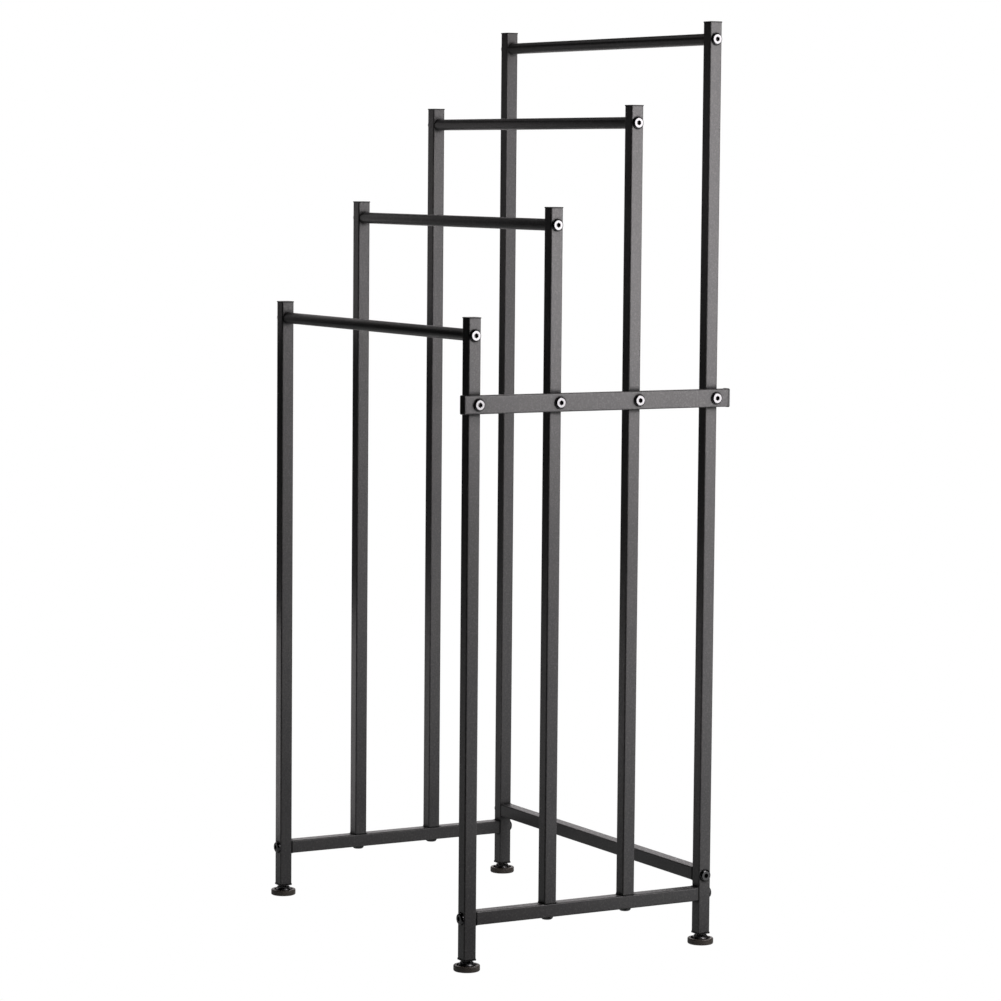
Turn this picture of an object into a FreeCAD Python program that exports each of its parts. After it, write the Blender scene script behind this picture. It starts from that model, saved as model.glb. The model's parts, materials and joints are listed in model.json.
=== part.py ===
"""Free-standing stepped bar rack in square steel tube, bolted together, on four levelling feet.

Four tiers stand one behind the other. Each tier is a left post, a right post and a round bar
bolted between them, and each tier is taller than the one in front of it. Lengths are in mm.
+X is the rack's right, -Y its front and +Z up. The floor is z = 0, and the origin is the
middle of the overall footprint.
"""
import FreeCAD, Part
import math
import os

# Driving dimensions
WIDTH = 470.0                # over the outer faces of the left and right posts
TIER_PITCH = 100.0           # from one post to the next, front to back
TUBE = 15.0                  # side of the square tube
WALL = 1.2
CORNER_RADIUS = 1.5
POST_BOTTOM = 13.5           # height of the corner posts' lower ends above the floor
BAR_HEIGHTS = (689.0, 806.5, 917.5, 1010.5)
POST_ABOVE_BAR = 18.2        # from a bar's axis to the end of its post's tube
BAR_DIAMETER = 13.0
SIDE_RAIL_HEIGHT = 57.5      # axis of the two base rails
CROSS_RAIL_HEIGHT = 78.5     # axis of the rail between the back posts
BRACE_HEIGHT = 615.5         # axis of the brace on the right side
BRACE_TALL = 20.0
BRACE_THICK = 10.0
BRACE_OVERHANG = 8.0         # how far the brace runs past the front and back posts

# Plugs and caps
PLUG_GAP = 0.1               # all round, between a plug and the tube that it is pushed into
PLUG_FLANGE = 1.2
PLUG_PROUD = 0.3             # how far a plug's flange stands out beyond the tube
PLUG_DEPTH = 16.0
INSERT_FLANGE = 1.8
INSERT_PROUD = 0.4
INSERT_DEPTH = 12.0
CAP_FLANGE = 1.2
CAP_PROUD = 0.4
CAP_SKIRT = 9.0
CAP_WALL = 1.4
BRACE_CAP_FLANGE = 2.5
BRACE_CAP_SOFTENING = 1.2
BAR_PLUG_DEPTH = 20.0
BAR_PLUG_GAP = 0.05
PLUG_CORNER = 1.0            # rounding of the plugs' and skirts' upright edges
SKIRT_CORNER = 0.5           # the same, inside a cap's skirt
CAP_SOFTENING = 0.5

# M8 button-head bolts
SHANK_RADIUS = 4.0
THREAD_CLEARANCE = 0.05      # between a shank and the thread that it turns in
HOLE_RADIUS = 4.25
HEAD_RADIUS = 6.8
HEAD_HEIGHT = 3.0
HEAD_RIM = 0.7               # height of the straight edge under the dome
HEAD_CROWN_RADIUS = 5.1      # of the flat ring around the socket
DOME_BULGE = 0.35            # of the dome above the straight line from rim to crown
SOCKET_FLATS = 5.0
SOCKET_DEPTH = 3.2
TIP_CHAMFER = 0.8
LONG_BOLT = 30.0
BRACE_BOLT = 20.0
NUT_RADIUS = 5.6
NUT_DEPTH = 9.0

# Levelling feet
PAD_RADIUS = 14.5
PAD_HEIGHT = 6.5
PAD_RIM_INNER = 11.2
PAD_RIM_ROUNDING = 1.1
PAD_RIM_INSIDE_ROUNDING = 0.5
PAD_EDGE_ROUNDING = 1.3      # along the pad's lower edge
PAD_FLOOR_RADIUS = 10.0
PAD_FLOOR = 4.6              # height of the dish around the stud
PAD_SOLE = 1.5
SWIVEL_GAP = 0.3
COLLAR_RADIUS = 6.2
NECK_RADIUS = 4.4
COLLAR_THICK = 1.5
HUB_FLATS = 13.0
HUB_TOP = 10.4
HUB_BEVEL = 0.8
SKIRT_RADIUS = 9.0
SKIRT_EDGE = 0.5              # height of the straight edge round the hub's skirt
SKIRT_TOP_RADIUS = 7.0
SKIRT_TOP = 8.6
SKIRT_BULGE = 0.5
STUD_TOP = 42.0
THREAD_PITCH = 1.25
THREAD_DEPTH = 0.6
THREAD_RING = ((1, 0.15), (0, 0.45), (0, 0.60), (1, 0.90))   # (depth, height) along one turn

FRONT, SECOND, THIRD, BACK = range(4)
CORNER_TIERS = (FRONT, BACK)
MIDDLE_TIERS = (SECOND, THIRD)
SIDES = {"left": -1, "right": 1}
ENDS = {"front": FRONT, "back": BACK}

# Measured from the middle of the posts, the right side reaches the brace's bolt heads and the
# left side the edge of the foot pads. The origin is the middle of that whole width.
RIGHT_REACH = WIDTH / 2 + BRACE_THICK + HEAD_HEIGHT
LEFT_REACH = WIDTH / 2 - TUBE / 2 + PAD_RADIUS
MIDDLE_X = (LEFT_REACH - RIGHT_REACH) / 2

SAME_HEIGHT = 0.01           # two heights or radii closer than this are the same one

V = FreeCAD.Vector
UP = V(0, 0, 1)
ROTATIONS = {
    "+x": FreeCAD.Rotation(V(0, 1, 0), 90),
    "-x": FreeCAD.Rotation(V(0, 1, 0), -90),
    "+y": FreeCAD.Rotation(V(1, 0, 0), -90),
    "-y": FreeCAD.Rotation(V(1, 0, 0), 90),
    "+z": FreeCAD.Rotation(),
    "-z": FreeCAD.Rotation(V(1, 0, 0), 180),
}


# ---------------------------------------------------------------- positions

def post_x(side):
    """The axis of the posts on one side."""
    return MIDDLE_X + SIDES[side] * (WIDTH / 2 - TUBE / 2)


def outer_x(side):
    return post_x(side) + SIDES[side] * TUBE / 2


def inner_x(side):
    return post_x(side) - SIDES[side] * TUBE / 2


def tier_y(tier):
    """The axis of a tier's posts and bar."""
    return (tier - 1.5) * TIER_PITCH


def inward(side):
    """The direction from one side's posts towards the other side."""
    return {"left": "+x", "right": "-x"}[side]


def lengthwise(end):
    """The direction from one end of a side panel towards its other end."""
    return {"front": "+y", "back": "-y"}[end]


def place(shape, point, direction):
    """Turn a shape that was made along +Z to a direction, with its origin at a point."""
    moved = shape.copy()
    moved.Placement = FreeCAD.Placement(V(*point), ROTATIONS[direction])
    return moved


def save(name, shape):
    shape.exportStep(f"parts/{name}.step")


# ---------------------------------------------------------------- basic solids

def block(size_x, size_y, height, radius):
    """A block on z = 0 about the Z axis, with its upright edges rounded."""
    box = Part.makeBox(size_x, size_y, height, V(-size_x / 2, -size_y / 2, 0))
    upright = [edge for edge in box.Edges if abs(edge.tangentAt(edge.FirstParameter).z) > 0.9]
    return box.makeFillet(radius, upright)


def tube(size_x, size_y, length):
    """A square or rectangular tube along +Z."""
    outside = block(size_x, size_y, length, CORNER_RADIUS)
    inside = block(size_x - 2 * WALL, size_y - 2 * WALL, length, CORNER_RADIUS - WALL)
    return outside.cut(inside)


def turned(points):
    """The solid turned about the Z axis by a closed outline of (radius, height) points."""
    outline = Part.makePolygon([V(radius, 0, height) for radius, height in points + points[:1]])
    return Part.Face(outline).revolve(V(0, 0, 0), UP, 360)


def hexagon(flats, height):
    """A six-sided prism on z = 0, given its size across flats."""
    corner = flats / math.sqrt(3)
    angles = [math.radians(60 * step) for step in range(7)]
    outline = Part.makePolygon([V(corner * math.cos(a), corner * math.sin(a), 0) for a in angles])
    return Part.Face(outline).extrude(V(0, 0, height))


def drill(shape, point, direction, length):
    """Cut a bolt's clearance hole that starts at a point."""
    return shape.cut(place(Part.makeCylinder(HOLE_RADIUS, length), point, direction))


def edges_at(shape, height):
    """The edges that lie flat at a height."""
    return [edge for edge in shape.Edges
            if abs(edge.BoundBox.ZMin - height) < SAME_HEIGHT
            and abs(edge.BoundBox.ZMax - height) < SAME_HEIGHT]


def soften_ring(shape, radius, height, rounding):
    """Round the circular edge of a turned solid that has this radius and height."""
    rings = [edge for edge in edges_at(shape, height) if abs(edge.BoundBox.XMax - radius) < SAME_HEIGHT]
    return shape.makeFillet(rounding, rings)


# ---------------------------------------------------------------- fasteners

def bolt(length):
    """A button-head bolt: bearing face at z = 0, head below it and shank above it."""
    crown = V(HEAD_CROWN_RADIUS, 0, -HEAD_HEIGHT)
    rim = V(HEAD_RADIUS, 0, -HEAD_RIM)
    chord = rim - crown
    outward = V(chord.z, 0, -chord.x).normalize()
    dome = Part.Arc(crown, (crown + rim) / 2 + outward * DOME_BULGE, rim).toShape()
    straight = Part.makePolygon([rim, V(HEAD_RADIUS, 0, 0), V(SHANK_RADIUS, 0, 0),
                                 V(SHANK_RADIUS, 0, length - TIP_CHAMFER),
                                 V(SHANK_RADIUS - TIP_CHAMFER, 0, length), V(0, 0, length),
                                 V(0, 0, -HEAD_HEIGHT), crown])
    solid = Part.Face(Part.Wire([dome] + straight.Edges)).revolve(V(0, 0, 0), UP, 360)
    socket = hexagon(SOCKET_FLATS, SOCKET_DEPTH)
    socket.translate(V(0, 0, -HEAD_HEIGHT))
    return solid.cut(socket)


def threaded(solid, length):
    """Cut the threaded hole of a plug or nut, on the Z axis."""
    return solid.cut(Part.makeCylinder(SHANK_RADIUS + THREAD_CLEARANCE, 2 * length, V(0, 0, -length)))


def threaded_plug(flange_thick, proud, depth):
    """A flanged plug: its flange's outer face is z = 0 and its body points up into the tube."""
    flange_side = TUBE + 2 * proud
    flange = block(flange_side, flange_side, flange_thick, CORNER_RADIUS)
    body_side = TUBE - 2 * WALL - 2 * PLUG_GAP
    body = block(body_side, body_side, flange_thick + depth, PLUG_CORNER)
    return threaded(flange.fuse(body), flange_thick + depth)


def tube_end_plug():
    return threaded_plug(PLUG_FLANGE, PLUG_PROUD, PLUG_DEPTH)


def end_cap(size_x, size_y, flange_thick, softening):
    """A push-in cap for a tube's end at z = 0: flange above, hollow skirt below."""
    flange = block(size_x + 2 * CAP_PROUD, size_y + 2 * CAP_PROUD, flange_thick, CORNER_RADIUS)
    flange = flange.makeFillet(softening, edges_at(flange, flange_thick))
    skirt_x = size_x - 2 * WALL - 2 * PLUG_GAP
    skirt_y = size_y - 2 * WALL - 2 * PLUG_GAP
    skirt = block(skirt_x, skirt_y, CAP_SKIRT, PLUG_CORNER)
    hollow = block(skirt_x - 2 * CAP_WALL, skirt_y - 2 * CAP_WALL, CAP_SKIRT, SKIRT_CORNER)
    skirt = skirt.cut(hollow)
    skirt.translate(V(0, 0, -CAP_SKIRT))
    return flange.fuse(skirt)


def nut():
    """A round threaded insert that starts at z = 0 and points up."""
    return threaded(Part.makeCylinder(NUT_RADIUS, NUT_DEPTH), NUT_DEPTH)


def bar_plug():
    """The threaded plug that is fixed in each end of a bar."""
    radius = BAR_DIAMETER / 2 - WALL - BAR_PLUG_GAP
    return threaded(Part.makeCylinder(radius, BAR_PLUG_DEPTH), BAR_PLUG_DEPTH)


# ---------------------------------------------------------------- levelling feet

def foot_pad():
    """A dished round pad with a cavity in its middle that holds the stud's collar."""
    cavity_top = PAD_SOLE + COLLAR_THICK + 2 * SWIVEL_GAP
    lip_radius = NECK_RADIUS + SWIVEL_GAP
    cavity_radius = COLLAR_RADIUS + SWIVEL_GAP
    pad = turned([
        (0, 0),
        (PAD_RADIUS, 0),
        (PAD_RADIUS, PAD_HEIGHT),
        (PAD_RIM_INNER, PAD_HEIGHT),
        (PAD_FLOOR_RADIUS, PAD_FLOOR),
        (lip_radius, PAD_FLOOR),
        (lip_radius, cavity_top),
        (cavity_radius, cavity_top),
        (cavity_radius, PAD_SOLE),
        (0, PAD_SOLE),
    ])
    pad = soften_ring(pad, PAD_RADIUS, 0, PAD_EDGE_ROUNDING)
    pad = soften_ring(pad, PAD_RADIUS, PAD_HEIGHT, PAD_RIM_ROUNDING)
    return soften_ring(pad, PAD_RIM_INNER, PAD_HEIGHT, PAD_RIM_INSIDE_ROUNDING)


def thread_outline(start, end):
    """Points up the side of a thread that is made as rings, one for each turn."""
    turns = int((end - start) / THREAD_PITCH)
    return [(SHANK_RADIUS - depth * THREAD_DEPTH, start + (turn + height) * THREAD_PITCH)
            for turn in range(turns) for depth, height in THREAD_RING]


def hub_skirt(bottom):
    """The domed skirt under the six-sided hub."""
    edge = V(SKIRT_RADIUS, 0, bottom + SKIRT_EDGE)
    top = V(SKIRT_TOP_RADIUS, 0, SKIRT_TOP)
    chord = top - edge
    outward = V(chord.z, 0, -chord.x).normalize()
    dome = Part.Arc(edge, (edge + top) / 2 + outward * SKIRT_BULGE, top).toShape()
    straight = Part.makePolygon([top, V(0, 0, SKIRT_TOP), V(0, 0, bottom),
                                 V(SKIRT_RADIUS, 0, bottom), edge])
    return Part.Face(Part.Wire([dome] + straight.Edges)).revolve(V(0, 0, 0), UP, 360)


def foot_stud():
    """The threaded stud: a collar held in the pad, a neck, a skirted six-sided hub, a thread."""
    collar_bottom = PAD_SOLE + SWIVEL_GAP
    collar_top = collar_bottom + COLLAR_THICK
    hub_bottom = PAD_FLOOR + SWIVEL_GAP
    root = SHANK_RADIUS - THREAD_DEPTH
    core = turned([(0, collar_bottom), (COLLAR_RADIUS, collar_bottom), (COLLAR_RADIUS, collar_top),
                   (NECK_RADIUS, collar_top), (NECK_RADIUS, HUB_TOP - HUB_BEVEL),
                   (root, HUB_TOP - HUB_BEVEL)]
                  + thread_outline(HUB_TOP, STUD_TOP - 2 * TIP_CHAMFER)
                  + [(root, STUD_TOP - TIP_CHAMFER), (root - TIP_CHAMFER, STUD_TOP), (0, STUD_TOP)])
    hub = hexagon(HUB_FLATS, HUB_TOP - hub_bottom)
    hub.translate(V(0, 0, hub_bottom))
    corner = HUB_FLATS / math.sqrt(3)
    bevel = turned([(0, hub_bottom), (corner, hub_bottom), (corner, HUB_TOP - HUB_BEVEL),
                    (corner - 2 * HUB_BEVEL, HUB_TOP), (0, HUB_TOP)])
    return core.fuse(hub.common(bevel)).fuse(hub_skirt(hub_bottom)).removeSplitter()


# ---------------------------------------------------------------- sub-parts

def post_start(tier):
    """Corner posts end above a foot; middle posts stand on a plug's flange on the base rail."""
    if tier in CORNER_TIERS:
        return POST_BOTTOM
    return SIDE_RAIL_HEIGHT + TUBE / 2 + PLUG_FLANGE


def make_post(side, tier):
    bottom = post_start(tier)
    top = BAR_HEIGHTS[tier] + POST_ABOVE_BAR
    post = place(tube(TUBE, TUBE, top - bottom), (post_x(side), tier_y(tier), bottom), "+z")
    face = outer_x(side)
    y = tier_y(tier)
    post = drill(post, (face, y, BAR_HEIGHTS[tier]), inward(side), TUBE)
    if side == "right":
        post = drill(post, (face, y, BRACE_HEIGHT), inward(side), TUBE / 2)
    if tier == BACK:
        post = drill(post, (face, y, CROSS_RAIL_HEIGHT), inward(side), TUBE)
    if tier in CORNER_TIERS:
        post = drill(post, (post_x(side), y - TUBE / 2, SIDE_RAIL_HEIGHT), "+y", TUBE)
    return post


def make_posts():
    for side in SIDES:
        for tier in range(4):
            save(f"{side}_post_{tier + 1}", make_post(side, tier))
            top = BAR_HEIGHTS[tier] + POST_ABOVE_BAR
            cap = place(end_cap(TUBE, TUBE, CAP_FLANGE, CAP_SOFTENING),
                        (post_x(side), tier_y(tier), top), "+z")
            save(f"{side}_post_cap_{tier + 1}", cap)


def make_bars():
    length = WIDTH - 2 * TUBE
    outside = Part.makeCylinder(BAR_DIAMETER / 2, length)
    bar = outside.cut(Part.makeCylinder(BAR_DIAMETER / 2 - WALL, length))
    plugs = []
    for tier, height in enumerate(BAR_HEIGHTS):
        save(f"bar_{tier + 1}", place(bar, (inner_x("left"), tier_y(tier), height), "+x"))
        for side in SIDES:
            plugs.append(place(bar_plug(), (inner_x(side), tier_y(tier), height), inward(side)))
    save("bar_end_plugs", Part.makeCompound(plugs))


def make_base_rails():
    """The side rails run between the corner posts and carry the middle posts."""
    front_face = tier_y(FRONT) + TUBE / 2
    back_face = tier_y(BACK) - TUBE / 2
    length = back_face - front_face - 2 * PLUG_FLANGE
    for side in SIDES:
        rail = place(tube(TUBE, TUBE, length),
                     (post_x(side), front_face + PLUG_FLANGE, SIDE_RAIL_HEIGHT), "+y")
        for tier in MIDDLE_TIERS:
            under = (post_x(side), tier_y(tier), SIDE_RAIL_HEIGHT - TUBE / 2)
            rail = drill(rail, under, "+z", TUBE)
            foot_of_post = (post_x(side), tier_y(tier), SIDE_RAIL_HEIGHT + TUBE / 2)
            save(f"{side}_post_plug_{tier + 1}", place(tube_end_plug(), foot_of_post, "+z"))
        save(f"{side}_base_rail", rail)
        for end, face in (("front", front_face), ("back", back_face)):
            plug = place(tube_end_plug(), (post_x(side), face, SIDE_RAIL_HEIGHT), lengthwise(end))
            save(f"{side}_rail_plug_{end}", plug)


def make_cross_rail():
    """The rail between the back posts, a little above the side rails."""
    start = inner_x("left") + PLUG_FLANGE
    length = WIDTH - 2 * TUBE - 2 * PLUG_FLANGE
    save("cross_rail", place(tube(TUBE, TUBE, length), (start, tier_y(BACK), CROSS_RAIL_HEIGHT), "+x"))
    for side in SIDES:
        plug = place(tube_end_plug(), (inner_x(side), tier_y(BACK), CROSS_RAIL_HEIGHT), inward(side))
        save(f"cross_rail_plug_{side}", plug)


def make_brace():
    """The flat brace that ties the four right-hand posts together, outside them."""
    x = outer_x("right") + BRACE_THICK / 2
    start = tier_y(FRONT) - TUBE / 2 - BRACE_OVERHANG
    end = tier_y(BACK) + TUBE / 2 + BRACE_OVERHANG
    brace = place(tube(BRACE_THICK, BRACE_TALL, end - start), (x, start, BRACE_HEIGHT), "+y")
    nuts = []
    for tier in range(4):
        y = tier_y(tier)
        brace = drill(brace, (outer_x("right") + BRACE_THICK, y, BRACE_HEIGHT), "-x", BRACE_THICK)
        nuts.append(place(nut(), (outer_x("right") - WALL, y, BRACE_HEIGHT), "-x"))
    save("side_brace", brace)
    save("brace_nuts", Part.makeCompound(nuts))
    cap = end_cap(BRACE_THICK, BRACE_TALL, BRACE_CAP_FLANGE, BRACE_CAP_SOFTENING)
    save("brace_cap_front", place(cap, (x, start, BRACE_HEIGHT), "-y"))
    save("brace_cap_back", place(cap, (x, end, BRACE_HEIGHT), "+y"))


def make_bolts():
    """Each set of identical bolts is one sub-part with its bolts as separate solids."""
    long_bolt = bolt(LONG_BOLT)
    brace_bolt = bolt(BRACE_BOLT)
    bar_bolts = []
    cross_rail_bolts = []
    rail_bolts = []
    post_bolts = []
    for side in SIDES:
        for tier, height in enumerate(BAR_HEIGHTS):
            bar_bolts.append(place(long_bolt, (outer_x(side), tier_y(tier), height), inward(side)))
        cross_point = (outer_x(side), tier_y(BACK), CROSS_RAIL_HEIGHT)
        cross_rail_bolts.append(place(long_bolt, cross_point, inward(side)))
        for end, y in (("front", tier_y(FRONT) - TUBE / 2), ("back", tier_y(BACK) + TUBE / 2)):
            point = (post_x(side), y, SIDE_RAIL_HEIGHT)
            rail_bolts.append(place(long_bolt, point, lengthwise(end)))
        for tier in MIDDLE_TIERS:
            under = (post_x(side), tier_y(tier), SIDE_RAIL_HEIGHT - TUBE / 2)
            post_bolts.append(place(long_bolt, under, "+z"))
    brace_face = outer_x("right") + BRACE_THICK
    brace_bolts = [place(brace_bolt, (brace_face, tier_y(tier), BRACE_HEIGHT), "-x")
                   for tier in range(4)]
    save("bar_bolts", Part.makeCompound(bar_bolts))
    save("cross_rail_bolts", Part.makeCompound(cross_rail_bolts))
    save("rail_bolts", Part.makeCompound(rail_bolts))
    save("middle_post_bolts", Part.makeCompound(post_bolts))
    save("brace_bolts", Part.makeCompound(brace_bolts))


def make_feet():
    """A threaded insert in each corner post, and the pad and stud of its levelling foot."""
    for side in SIDES:
        for end, tier in ENDS.items():
            x = post_x(side)
            y = tier_y(tier)
            insert = place(threaded_plug(INSERT_FLANGE, INSERT_PROUD, INSERT_DEPTH),
                           (x, y, POST_BOTTOM - INSERT_FLANGE), "+z")
            save(f"foot_insert_{end}_{side}", insert)
            save(f"foot_pad_{end}_{side}", place(foot_pad(), (x, y, 0), "+z"))
            save(f"foot_stud_{end}_{side}", place(foot_stud(), (x, y, 0), "+z"))


os.makedirs("parts", exist_ok=True)
make_posts()
make_bars()
make_base_rails()
make_cross_rail()
make_brace()
make_bolts()
make_feet()
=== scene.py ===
"""Looks for the stepped bar rack: its materials, studio and camera. Lengths are in metres."""
import json
import math

import bmesh
import bpy
from mathutils import Matrix, Vector

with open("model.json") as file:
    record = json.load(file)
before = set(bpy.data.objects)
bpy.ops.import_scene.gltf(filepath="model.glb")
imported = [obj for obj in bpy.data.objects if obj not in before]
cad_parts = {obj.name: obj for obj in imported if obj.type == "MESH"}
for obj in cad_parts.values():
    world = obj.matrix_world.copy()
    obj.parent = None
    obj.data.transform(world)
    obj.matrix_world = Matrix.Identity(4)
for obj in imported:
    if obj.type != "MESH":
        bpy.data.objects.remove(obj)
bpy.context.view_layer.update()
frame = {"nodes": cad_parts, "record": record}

MM = 0.001

# Camera, with its angles in degrees
CAMERA_PLACE = (3.5509, -1.9847, 0.8709)
CAMERA_YAW = 29.362          # from looking along -X towards looking along +Y
CAMERA_PITCH = -4.912
CAMERA_ROLL = 0.501
LENS_MM = 128.0
SENSOR_MM = 36.0
LENS_SHIFT = -0.03
CAMERA_REACH = 100.0         # the surround is well within this

# Studio
FLOOR_DROP = 12.5 * MM       # the feet screw out this far below their resting height
FLOOR_HALF = 25.0
DOME_RADIUS = 28.0
DOME_SEGMENTS = 64
DOME_RINGS = 32
# White sheets whose reflections show low on the rack: least x, most x, least y, most y and glow
SHEETS = {
    "sheet_under": (-0.85, 0.30, -0.85, 0.85, 0.28),
    "sheet_left": (-2.80, -0.85, -2.20, 0.85, 0.20),
    "sheet_right": (0.40, 2.20, 0.12, 1.80, 1.05),
}
# Softboxes: place, the point that each one faces, width, height and radiance
SOFTBOXES = {
    "key": ((0.98, 0.42, 1.15), (0.10, 0.00, 1.15), 0.62, 1.25, 5.6),
    "key_low": ((0.88, 0.68, 0.33), (0.15, 0.10, 0.33), 0.50, 0.42, 2.10),
    "backdrop": ((-1.90, 1.10, 0.70), (0.00, 0.00, 0.70), 1.80, 1.80, 1.03),
    "left_top": ((-1.10, -0.20, 2.00), (0.00, 0.00, 0.80), 0.90, 0.90, 0.34),
    "left_low": ((-0.53, -0.25, 0.15), (-0.23, -0.08, 0.15), 0.24, 0.27, 0.90),
    "left_high": ((-0.50, -0.16, 0.86), (-0.23, 0.00, 0.86), 0.22, 0.40, 0.48),
    "fill": ((-1.60, 1.60, 0.70), (0.00, 0.00, 0.60), 2.00, 1.80, 7.0),
}
DIFFUSE_ONLY = ("fill",)     # lights the sides turned away from the photograph, with no highlight
LIGHT_TINT = (1.035, 0.990, 1.000)
WORLD_GREY = 0.003

# Colours in the finishes
COAT_DARK = (0.052, 0.052, 0.054)
COAT_LIGHT = (0.064, 0.063, 0.063)
COAT_PITS = (0.026, 0.026, 0.027)
COAT_PEBBLES = (0.112, 0.111, 0.110)
# Painted highlight along the powder coat's edges
COAT_EDGE_HIGHLIGHT = (0.160, 0.158, 0.156)
# Painted shade in hollows and where parts meet
COAT_HOLLOW_SHADE = (0.004, 0.004, 0.004)
# Painted highlight along the plastic's edges
PLASTIC_EDGE_HIGHLIGHT = (0.150, 0.148, 0.145)
NYLON_DARK = (0.036, 0.031, 0.027)
NYLON_LIGHT = (0.080, 0.068, 0.058)
NYLON_GRAIN = (0.150, 0.128, 0.108)
# Painted shade in the foot's dish and hollows
NYLON_HOLLOW_SHADE = (0.003, 0.003, 0.002)
# Painted shade in the bolts' sockets and hollows
BOLT_SOCKET_SHADE = (0.002, 0.002, 0.002)
STEEL_DARK = (0.42, 0.42, 0.43)
STEEL_LIGHT = (0.60, 0.60, 0.60)
# Black plastics: darkest and lightest shade, and specular level
PLASTICS = {
    "black_plastic_finish": (0.008, 0.015, 0.20),
    # The brace caps' plastic is a lighter copy of the cap plastic: painted light that brightens the
    # brace ends
    "brace_cap_lit_copy_finish": (0.034, 0.056, 0.34),
}
PLASTIC_BLUE = (1.05, 1.03)  # how much more blue than red its darkest and lightest shades have
# Black steels: darkest and lightest shade, and least and most roughness
STEELS = {
    "black_steel_finish": (0.160, 0.220, 0.17, 0.26),
    # The second steel is a darker copy of the bolt steel for the lower bolts: painted shade for
    # their dim reflections
    "shaded_bolt_copy_finish": (0.060, 0.100, 0.14, 0.22),
    "satin_steel_finish": (0.080, 0.130, 0.30, 0.42),
}
STEEL_BLUE = (1.03, 1.02)    # as for plastic

# How the patterns are read
FULL = (0.0, 1.0)
NOISE_MOST = (0.3, 0.7)      # most of a noise lies between these
HOLLOW_SAMPLES = 8
EDGE_SAMPLES = 4
EDGE_LIKENESS = (0.995, 0.90)    # of true and rounded normals, on a flat face and at an edge
HOLLOW_ROUGHNESS = (0.80, 0.80, 0.80)
MIX_FIRST, MIX_SECOND, MIX_RESULT = 6, 7, 2      # a Mix node's colour sockets


# ---------------------------------------------------------------- materials

class Finish:
    """One procedural material. Patterns follow the row frame, so they are at real scale."""

    def __init__(self, name):
        self.material = bpy.data.materials.new(name)
        self.material.use_nodes = True
        self.nodes = self.material.node_tree.nodes
        self.links = self.material.node_tree.links
        self.shader = self.nodes["Principled BSDF"]
        self.place = self.nodes.new("ShaderNodeTexCoord").outputs["Object"]

    def set(self, name, value):
        self.shader.inputs[name].default_value = value

    def stretched(self, scale):
        """Coordinates scaled by a different amount along each axis."""
        mapping = self.nodes.new("ShaderNodeMapping")
        mapping.inputs["Scale"].default_value = scale
        self.links.new(self.place, mapping.inputs["Vector"])
        return mapping.outputs["Vector"]

    def noise(self, size, detail, coordinates=None):
        """Noise with features of about this size."""
        node = self.nodes.new("ShaderNodeTexNoise")
        node.inputs["Scale"].default_value = 1 / size
        node.inputs["Detail"].default_value = detail
        self.links.new(coordinates or self.place, node.inputs["Vector"])
        return node.outputs["Fac"]

    def openness(self, reach, span):
        """One on open surfaces, falling to zero deep in hollows narrower than the reach."""
        node = self.nodes.new("ShaderNodeAmbientOcclusion")
        node.samples = HOLLOW_SAMPLES
        node.inputs["Distance"].default_value = reach
        return self.spread(node.outputs["AO"], span, FULL)

    def edges(self, radius):
        """Zero on flat and gently curved surfaces, rising to one along edges this close."""
        rounded = self.nodes.new("ShaderNodeBevel")
        rounded.samples = EDGE_SAMPLES
        rounded.inputs["Radius"].default_value = radius
        true_normal = self.nodes.new("ShaderNodeNewGeometry").outputs["Normal"]
        likeness = self.nodes.new("ShaderNodeVectorMath")
        likeness.operation = "DOT_PRODUCT"
        self.links.new(rounded.outputs["Normal"], likeness.inputs[0])
        self.links.new(true_normal, likeness.inputs[1])
        return self.spread(likeness.outputs["Value"], EDGE_LIKENESS, FULL)

    def spread(self, value, span, result):
        """Map one span of a value to another, and hold it at the ends."""
        node = self.nodes.new("ShaderNodeMapRange")
        node.inputs["From Min"].default_value, node.inputs["From Max"].default_value = span
        node.inputs["To Min"].default_value, node.inputs["To Max"].default_value = result
        self.links.new(value, node.inputs["Value"])
        return node.outputs["Result"]

    def blend(self, factor, first, second):
        """A mix of two colours, either of which may come from another node."""
        node = self.nodes.new("ShaderNodeMix")
        node.data_type = "RGBA"
        self.links.new(factor, node.inputs["Factor"])
        for index, colour in ((MIX_FIRST, first), (MIX_SECOND, second)):
            socket = node.inputs[index]
            if isinstance(colour, bpy.types.NodeSocket):
                self.links.new(colour, socket)
            else:
                socket.default_value = (*colour, 1.0)
        return node.outputs[MIX_RESULT]

    def bump(self, height, depth, strength, below=None):
        """Relief this deep, over another relief if one is given."""
        node = self.nodes.new("ShaderNodeBump")
        node.inputs["Distance"].default_value = depth
        node.inputs["Strength"].default_value = strength
        self.links.new(height, node.inputs["Height"])
        if below is not None:
            self.links.new(below, node.inputs["Normal"])
        return node.outputs["Normal"]

    def use(self, colour, roughness, normal):
        self.links.new(colour, self.shader.inputs["Base Color"])
        self.links.new(roughness, self.shader.inputs["Roughness"])
        self.links.new(normal, self.shader.inputs["Normal"])


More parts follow.
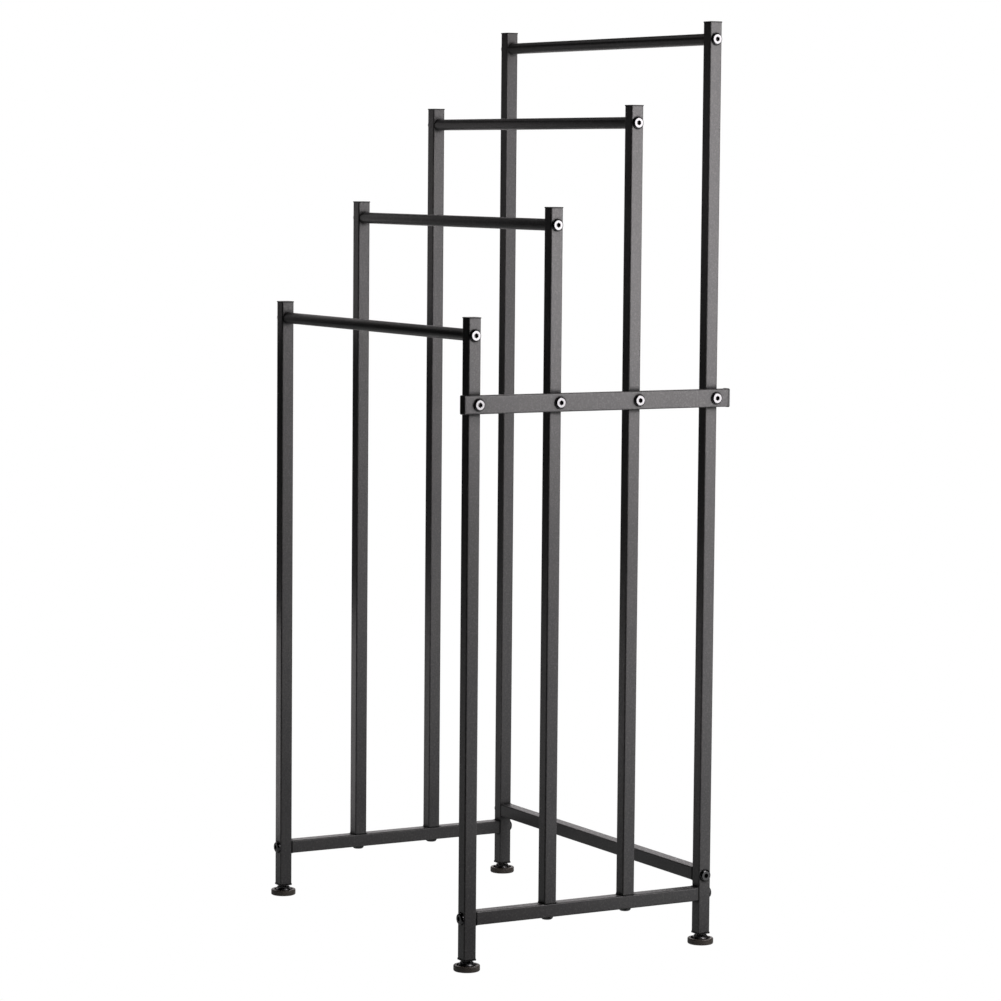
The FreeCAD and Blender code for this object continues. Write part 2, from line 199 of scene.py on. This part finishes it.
def powder_coat():
    """Satin black powder coat: a fine pebbled grain over a faint unevenness in the coat, with a
    painted highlight along its edges and painted shade in its hollows.
    """
    finish = Finish("powder_coat_finish")
    grain = finish.noise(size=1.1 * MM, detail=3.0)
    pebble = finish.noise(size=2.3 * MM, detail=3.0)
    cloud = finish.noise(size=38 * MM, detail=3.0)
    colour = finish.blend(finish.spread(cloud, NOISE_MOST, FULL), COAT_DARK, COAT_LIGHT)
    colour = finish.blend(finish.spread(grain, (0.30, 0.55), (0.7, 0.0)), colour, COAT_PITS)
    colour = finish.blend(finish.spread(pebble, (0.50, 0.70), (0.0, 0.5)), colour, COAT_PEBBLES)
    # Painted highlight: the edges are lightened as if they caught the light
    edge = finish.spread(finish.edges(radius=1.0 * MM), FULL, (0.0, 0.7))
    colour = finish.blend(edge, colour, COAT_EDGE_HIGHLIGHT)
    # Painted shade: the coat turns near black in hollows and where parts meet, and is rougher there
    painted_shade_mask = finish.openness(reach=7 * MM, span=(0.50, 0.90))
    colour = finish.blend(painted_shade_mask, COAT_HOLLOW_SHADE, colour)
    gloss = finish.spread(pebble, NOISE_MOST, (0.42, 0.34))
    roughness = finish.blend(painted_shade_mask, HOLLOW_ROUGHNESS, gloss)
    normal = finish.bump(pebble, depth=0.14 * MM, strength=0.6)
    normal = finish.bump(grain, depth=0.08 * MM, strength=0.6, below=normal)
    finish.use(colour, roughness, normal)
    return finish.material


def shade(value, blueness):
    """A grey with a little more or less blue in it."""
    return (value, value, value * blueness)


def black_plastic(name):
    """Moulded black plastic with a very fine spark-eroded grain and a painted highlight along its
    edges.
    """
    dark, light, specular = PLASTICS[name]
    finish = Finish(name)
    grain = finish.noise(size=0.25 * MM, detail=2.0)
    cloud = finish.noise(size=9 * MM, detail=2.0)
    colour = finish.blend(cloud, shade(dark, PLASTIC_BLUE[0]), shade(light, PLASTIC_BLUE[1]))
    # Painted highlight: the edges are lightened as if they caught the light
    colour = finish.blend(finish.edges(radius=0.25 * MM), colour, PLASTIC_EDGE_HIGHLIGHT)
    roughness = finish.spread(cloud, NOISE_MOST, (0.32, 0.42))
    finish.set("Specular IOR Level", specular)
    normal = finish.bump(grain, depth=0.03 * MM, strength=0.4)
    finish.use(colour, roughness, normal)
    return finish.material


def foot_nylon():
    """Brown-black moulded nylon with turning marks, with painted shade in its dish and hollows."""
    finish = Finish("foot_nylon_finish")
    grain = finish.noise(size=0.8 * MM, detail=3.0)
    bands = finish.noise(size=0.9 * MM, detail=2.0, coordinates=finish.stretched((0.05, 0.05, 1.0)))
    dust = finish.noise(size=5 * MM, detail=4.0)
    colour = finish.blend(dust, NYLON_DARK, NYLON_LIGHT)
    colour = finish.blend(finish.spread(grain, (0.50, 0.70), (0.0, 0.7)), colour, NYLON_GRAIN)
    # Painted shade: the nylon turns near black in its dish and hollows
    painted_shade_mask = finish.openness(reach=5 * MM, span=(0.3, 0.9))
    colour = finish.blend(painted_shade_mask, NYLON_HOLLOW_SHADE, colour)
    roughness = finish.spread(dust, NOISE_MOST, (0.34, 0.50))
    normal = finish.bump(bands, depth=0.06 * MM, strength=0.35)
    normal = finish.bump(grain, depth=0.05 * MM, strength=0.4, below=normal)
    finish.use(colour, roughness, normal)
    return finish.material


def bolt_steel(name):
    """Black plating on steel, worn between two shades and two roughnesses, with painted shade in
    its sockets and hollows.
    """
    dark, light, smoothest, roughest = STEELS[name]
    finish = Finish(name)
    fine = finish.noise(size=0.35 * MM, detail=2.0)
    cloud = finish.noise(size=3 * MM, detail=3.0)
    colour = finish.blend(cloud, shade(dark, STEEL_BLUE[0]), shade(light, STEEL_BLUE[1]))
    # Painted shade: the steel turns near black in sockets and hollows
    painted_shade_mask = finish.openness(reach=4 * MM, span=(0.45, 0.85))
    colour = finish.blend(painted_shade_mask, BOLT_SOCKET_SHADE, colour)
    roughness = finish.spread(cloud, NOISE_MOST, (smoothest, roughest))
    finish.set("Metallic", 1.0)
    normal = finish.bump(fine, depth=0.015 * MM, strength=0.35)
    finish.use(colour, roughness, normal)
    return finish.material


def plain_steel():
    """Turned steel of the pieces hidden in the tubes."""
    finish = Finish("plain_steel_finish")
    lines = finish.noise(size=0.4 * MM, detail=2.0, coordinates=finish.stretched((1.0, 0.08, 0.08)))
    colour = finish.blend(lines, STEEL_DARK, STEEL_LIGHT)
    roughness = finish.spread(lines, NOISE_MOST, (0.28, 0.42))
    finish.set("Metallic", 1.0)
    normal = finish.bump(lines, depth=0.02 * MM, strength=0.3)
    finish.use(colour, roughness, normal)
    return finish.material


def dress_nodes():
    """Give every CAD node its material slot's finish, but for some steel and plastic: a darker copy
    of the bolt steel on the lower bolts is painted shade, and a lighter copy of the cap plastic on
    the brace caps is painted light.
    """
    finishes = {
        "powder_coat": powder_coat(),
        "black_plastic": black_plastic("black_plastic_finish"),
        "foot_nylon": foot_nylon(),
        "black_steel": bolt_steel("black_steel_finish"),
        "plain_steel": plain_steel(),
    }
    shaded_bolt_copy = bolt_steel("shaded_bolt_copy_finish")
    satin = bolt_steel("satin_steel_finish")
    brace_cap = black_plastic("brace_cap_lit_copy_finish")
    special = {
        # The lower bolts get the darker copy of the bolt steel: painted shade
        "rail_bolts": shaded_bolt_copy,
        "cross_rail_bolts": shaded_bolt_copy,
        "middle_post_bolts": shaded_bolt_copy,
        # The brace caps get the lighter copy of the cap plastic: painted light
        "brace_cap_front": brace_cap,
        "brace_cap_back": brace_cap,
    }
    special.update((name, satin) for name in frame["nodes"] if name.startswith("foot_stud"))
    for subpart in frame["record"]["subparts"]:
        name = subpart["node"]
        for slot in frame["nodes"][name].material_slots:
            slot.material = special.get(name, finishes[subpart["material_slot"]])


# ---------------------------------------------------------------- studio

def glow(name, strength):
    """A white surface that shines evenly."""
    finish = Finish(name)
    finish.set("Base Color", (0.0, 0.0, 0.0, 1.0))
    finish.set("Roughness", 1.0)
    finish.set("Specular IOR Level", 0.0)
    finish.set("Emission Color", (1.0, 1.0, 1.0, 1.0))
    finish.set("Emission Strength", strength)
    return finish.material


def flat_sheet(name, low_x, high_x, low_y, high_y, material):
    """A level sheet at the floor's height."""
    corners = [(low_x, low_y, 0), (high_x, low_y, 0), (high_x, high_y, 0), (low_x, high_y, 0)]
    mesh = bpy.data.meshes.new(name)
    mesh.from_pydata(corners, [], [(0, 1, 2, 3)])
    mesh.materials.append(material)
    sheet = bpy.data.objects.new(name, mesh)
    sheet.location.z = -FLOOR_DROP
    bpy.context.scene.collection.objects.link(sheet)
    return sheet


def only_seen(piece):
    """Let the camera see a backdrop that neither lights the rack nor shows in it."""
    piece.visible_diffuse = False
    piece.visible_glossy = False
    piece.visible_transmission = False
    piece.visible_shadow = False


def make_floor():
    """An evenly white floor for the camera, over smaller sheets for the reflections."""
    edges = (-FLOOR_HALF, FLOOR_HALF, -FLOOR_HALF, FLOOR_HALF)
    only_seen(flat_sheet("floor", *edges, glow("floor_white", 1.0)))
    for name, (*sheet_edges, strength) in SHEETS.items():
        sheet = flat_sheet(name, *sheet_edges, glow(name + "_white", strength))
        sheet.visible_camera = False


def make_dome():
    """A white surround for the camera."""
    mesh = bpy.data.meshes.new("surround")
    shape = bmesh.new()
    bmesh.ops.create_uvsphere(shape, u_segments=DOME_SEGMENTS, v_segments=DOME_RINGS,
                              radius=DOME_RADIUS)
    shape.to_mesh(mesh)
    shape.free()
    mesh.materials.append(glow("surround_white", 1.0))
    dome = bpy.data.objects.new("surround", mesh)
    bpy.context.scene.collection.objects.link(dome)
    only_seen(dome)


def softbox(name, place, target, width, height, radiance):
    """A rectangular light that faces a point, given the brightness of its surface."""
    light = bpy.data.lights.new(name, "AREA")
    light.shape = "RECTANGLE"
    light.size = width
    light.size_y = height
    light.color = LIGHT_TINT
    light.energy = radiance * math.pi * width * height
    lamp = bpy.data.objects.new(name, light)
    lamp.location = place
    lamp.rotation_mode = "QUATERNION"
    lamp.rotation_quaternion = (Vector(target) - Vector(place)).to_track_quat("-Z", "Y")
    lamp.visible_camera = False
    lamp.visible_glossy = name not in DIFFUSE_ONLY
    bpy.context.scene.collection.objects.link(lamp)


def make_lights():
    for name, settings in SOFTBOXES.items():
        softbox(name, *settings)
    world = bpy.data.worlds.new("studio")
    world.use_nodes = True
    background = world.node_tree.nodes["Background"]
    background.inputs["Color"].default_value = (1.0, 1.0, 1.0, 1.0)
    background.inputs["Strength"].default_value = WORLD_GREY
    bpy.context.scene.world = world


def make_camera():
    yaw, pitch, roll = (math.radians(angle) for angle in (CAMERA_YAW, CAMERA_PITCH, CAMERA_ROLL))
    level = Vector((-math.cos(yaw), math.sin(yaw), 0))
    up = Vector((0, 0, 1))
    right = level.cross(up)
    ahead = level * math.cos(pitch) + up * math.sin(pitch)
    above = up * math.cos(pitch) - level * math.sin(pitch)
    rolled_right = right * math.cos(roll) + above * math.sin(roll)
    rolled_up = above * math.cos(roll) - right * math.sin(roll)
    data = bpy.data.cameras.new("camera")
    data.lens = LENS_MM
    data.sensor_width = SENSOR_MM
    data.shift_y = LENS_SHIFT
    data.clip_end = CAMERA_REACH
    camera = bpy.data.objects.new("camera", data)
    axes = Matrix((rolled_right, rolled_up, -ahead)).transposed().to_4x4()
    camera.matrix_world = Matrix.Translation(CAMERA_PLACE) @ axes
    bpy.context.scene.collection.objects.link(camera)
    bpy.context.scene.camera = camera


dress_nodes()
make_floor()
make_dome()
make_lights()
make_camera()
bpy.context.scene.view_settings.view_transform = "Standard"
